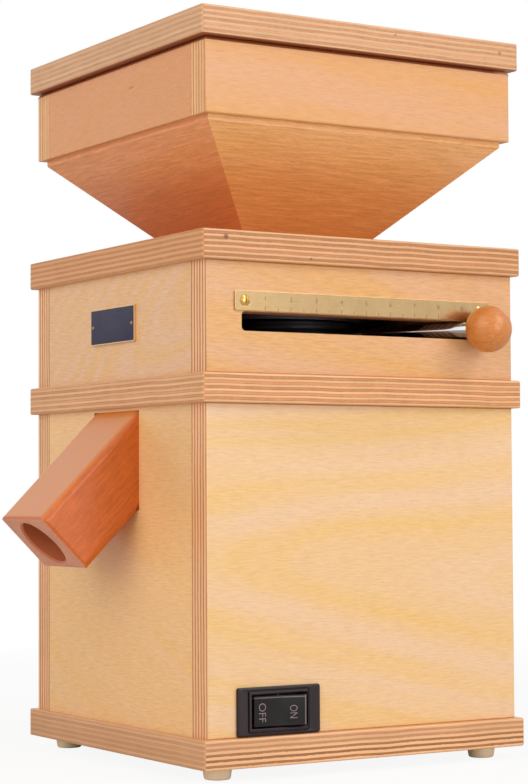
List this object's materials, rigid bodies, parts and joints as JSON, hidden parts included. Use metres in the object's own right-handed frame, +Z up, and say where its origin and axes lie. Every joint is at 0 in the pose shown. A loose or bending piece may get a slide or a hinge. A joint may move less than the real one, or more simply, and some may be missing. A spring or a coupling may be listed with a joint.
{
  "type": "electric grain mill",
  "caption": "Household grain mill in a square plywood case: funnel hopper with lift-off lid, slanted square spout, side lever on a scale, rocker switch, millstones over a motor.",
  "frame": {"origin": "on the table, in the middle of the four feet, straight below the motor shaft", "axes": "+Z up, -Y to the side with the spout, +X to the side with the lever and the switch"},
  "size_m": [0.2225, 0.2592, 0.389],
  "materials": {
    "birch_multiplex": "oiled multi-ply birch, open grain, satin",
    "hopper_beech": "oiled beech, satin",
    "funnel_beech": "oiled beech, satin",
    "case_panel": "rotary-cut birch veneer on multi-ply, satin",
    "spout_beech": "oiled steamed beech, satin",
    "knob_beech": "turned and lacquered beech",
    "foot_plastic": "cream, matt",
    "zinc_screw": "zinc plated",
    "blue_plate": "slate blue with a thin bright rim",
    "brass": "brushed brass",
    "switch_plastic": "black",
    "tinned_steel": "tinned",
    "gland_nylon": "black nylon",
    "cast_aluminium": "cast, with turned faces",
    "turned_steel": "turned",
    "chrome": "polished chrome",
    "corundum_stone": "pale corundum in a magnesite bond, rough",
    "electrical_steel": "stacked sheet",
    "copper_windings": "lacquered copper wire",
    "fan_plastic": "pale plastic",
    "capacitor_can": "drawn can"
  },
  "bodies": {
    "housing": {"hopper_front": "hopper_beech", "hopper_back": "hopper_beech", "hopper_left": "hopper_beech", "hopper_right": "hopper_beech", "funnel_front": "funnel_beech", "funnel_back": "funnel_beech", "funnel_left": "funnel_beech", "funnel_right": "funnel_beech", "top_plate": "birch_multiplex", "upper_front": "case_panel", "upper_back": "case_panel", "upper_left": "case_panel", "upper_right": "case_panel", "mid_plate": "birch_multiplex", "lower_front": "case_panel", "lower_back": "case_panel", "lower_left": "case_panel", "lower_right": "case_panel", "base_plate": "birch_multiplex", "feet": "foot_plastic", "foot_screws": "zinc_screw", "base_screws": "zinc_screw", "spout": "spout_beech", "name_plate": "blue_plate", "name_plate_pins": "brass", "scale_strip": "brass", "scale_screws": "brass", "switch_housing": "switch_plastic", "switch_terminals": "tinned_steel", "cord_gland": "gland_nylon", "gland_nut": "gland_nylon", "chamber_wall": "cast_aluminium", "chamber_floor": "cast_aluminium", "feed_flange": "cast_aluminium", "inner_screws": "zinc_screw", "guide_pins": "turned_steel", "stator_stack": "electrical_steel", "stator_windings": "copper_windings", "motor_upper_bell": "cast_aluminium", "motor_lower_bell": "cast_aluminium", "motor_bolts": "zinc_screw", "motor_pillars": "turned_steel", "ball_bearings": "turned_steel", "run_capacitor": "capacitor_can", "terminal_block": "fan_plastic"},
    "lid": {"lid": "birch_multiplex", "lid_locator": "birch_multiplex"},
    "lever": {"adjusting_ring": "turned_steel", "lever_rod": "chrome", "lever_knob": "knob_beech"},
    "stone_lift": {"stone_holder": "turned_steel", "upper_stone": "corundum_stone"},
    "rotor": {"lower_stone": "corundum_stone", "stone_carrier": "turned_steel", "stone_nut": "turned_steel", "motor_shaft": "turned_steel", "rotor_core": "electrical_steel", "cooling_fan": "fan_plastic", "bearing_inner_rings": "turned_steel"},
    "rocker": {"switch_rocker": "switch_plastic"}
  },
  "joints": [
    {"name": "lid_lift", "type": "slide", "parent": "housing", "child": "lid", "axis": [0, 0, 1], "range_m": [0, 0.08]},
    {"name": "lever_turn", "type": "hinge", "parent": "housing", "child": "lever", "pos_m": [0, 0, 0], "axis": [0, 0, -1], "range_deg": [0, 65]},
    {"name": "stone_feed", "type": "slide", "parent": "housing", "child": "stone_lift", "axis": [0, 0, -1], "range_m": [0, 0.00109]},
    {"name": "rotor_spin", "type": "hinge", "parent": "housing", "child": "rotor", "pos_m": [0, 0, 0], "axis": [0, 0, 1], "continuous": true},
    {"name": "rocker_tilt", "type": "hinge", "parent": "housing", "child": "rocker", "pos_m": [0.09625, -0.05465, 0.03405], "axis": [0, 0, 1], "range_deg": [0, 16]}
  ],
  "couplings": [
    {"joint": "stone_feed", "follows": "lever_turn", "m_per_rad": 0.00095493}
  ]
}
